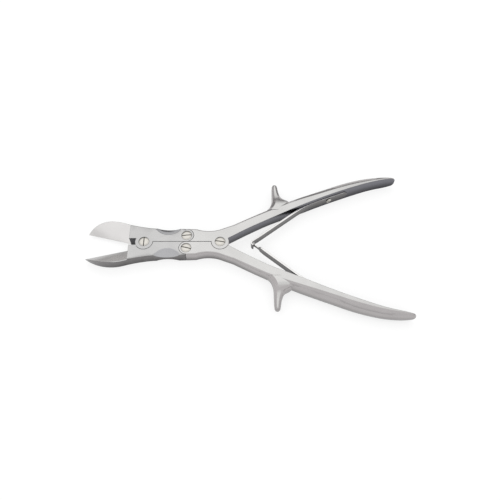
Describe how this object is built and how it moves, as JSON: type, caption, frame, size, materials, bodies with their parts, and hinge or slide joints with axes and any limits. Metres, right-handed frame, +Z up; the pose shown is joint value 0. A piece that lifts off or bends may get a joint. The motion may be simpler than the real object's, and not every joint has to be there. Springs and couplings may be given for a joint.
{
  "type": "bone cutting forceps",
  "caption": "Compound-action bone cutters: short curved cutting blades, lapped box joints with slotted screws, horned finger rests and leaf springs between the handles.",
  "frame": {"origin": "centre of the underside of the bounding box, with the instrument lying flat and open", "axes": "+X along the instrument from the blades towards the grips, +Y towards the upper handle of the picture, +Z up through the thickness, towards the screw heads"},
  "size_m": [0.2622, 0.1322, 0.0142],
  "materials": {
    "satin_steel": "satin, fine brushed",
    "screw_steel": "turned and lightly polished",
    "spring_steel": "polished spring steel"
  },
  "bodies": {
    "lower_handle": {"lower_handle": "satin_steel", "handle_pivot_screw": "screw_steel", "lower_spring_screw": "screw_steel"},
    "upper_handle": {"upper_handle": "satin_steel", "upper_link_screw": "screw_steel", "upper_spring_screw": "screw_steel"},
    "upper_jaw": {"upper_jaw": "satin_steel"},
    "lower_jaw": {"lower_jaw": "satin_steel", "lower_link_screw": "screw_steel", "jaw_pivot_screw": "screw_steel"},
    "upper_spring": {"upper_leaf_spring": "spring_steel"},
    "lower_spring": {"lower_leaf_spring": "spring_steel"}
  },
  "joints": [
    {"name": "handle_close", "type": "hinge", "parent": "lower_handle", "child": "upper_handle", "pos_m": [-0.0202, 0, 0.0071], "axis": [0, 0, -1], "range_deg": [0, 34.17], "stiffness_Nm_per_rad": 1.2, "springref_deg": -8.59},
    {"name": "lower_link", "type": "hinge", "parent": "lower_handle", "child": "lower_jaw", "pos_m": [-0.04775, -0.00583, 0.0071], "axis": [0, 0, -1], "range_deg": [0, 30.6]},
    {"name": "upper_link", "type": "hinge", "parent": "upper_handle", "child": "upper_jaw", "pos_m": [-0.04775, 0.00583, 0.0071], "axis": [0, 0, 1], "range_deg": [0, 30.6]},
    {"name": "upper_spring_flex", "type": "hinge", "parent": "upper_handle", "child": "upper_spring", "pos_m": [0.05418, 0.03779, 0.0071], "axis": [0, 0, -1], "range_deg": [0, 8.5], "deforming": ["upper_leaf_spring"]},
    {"name": "lower_spring_flex", "type": "hinge", "parent": "lower_handle", "child": "lower_spring", "pos_m": [0.05418, -0.03779, 0.0071], "axis": [0, 0, 1], "range_deg": [0, 8.5], "deforming": ["lower_leaf_spring"]}
  ],
  "couplings": [
    {"joint": "lower_link", "follows": "handle_close", "ratio": 0.89036},
    {"joint": "upper_link", "follows": "handle_close", "ratio": 0.89036},
    {"joint": "upper_spring_flex", "follows": "handle_close", "ratio": 0.24363},
    {"joint": "lower_spring_flex", "follows": "handle_close", "ratio": 0.24363}
  ]
}
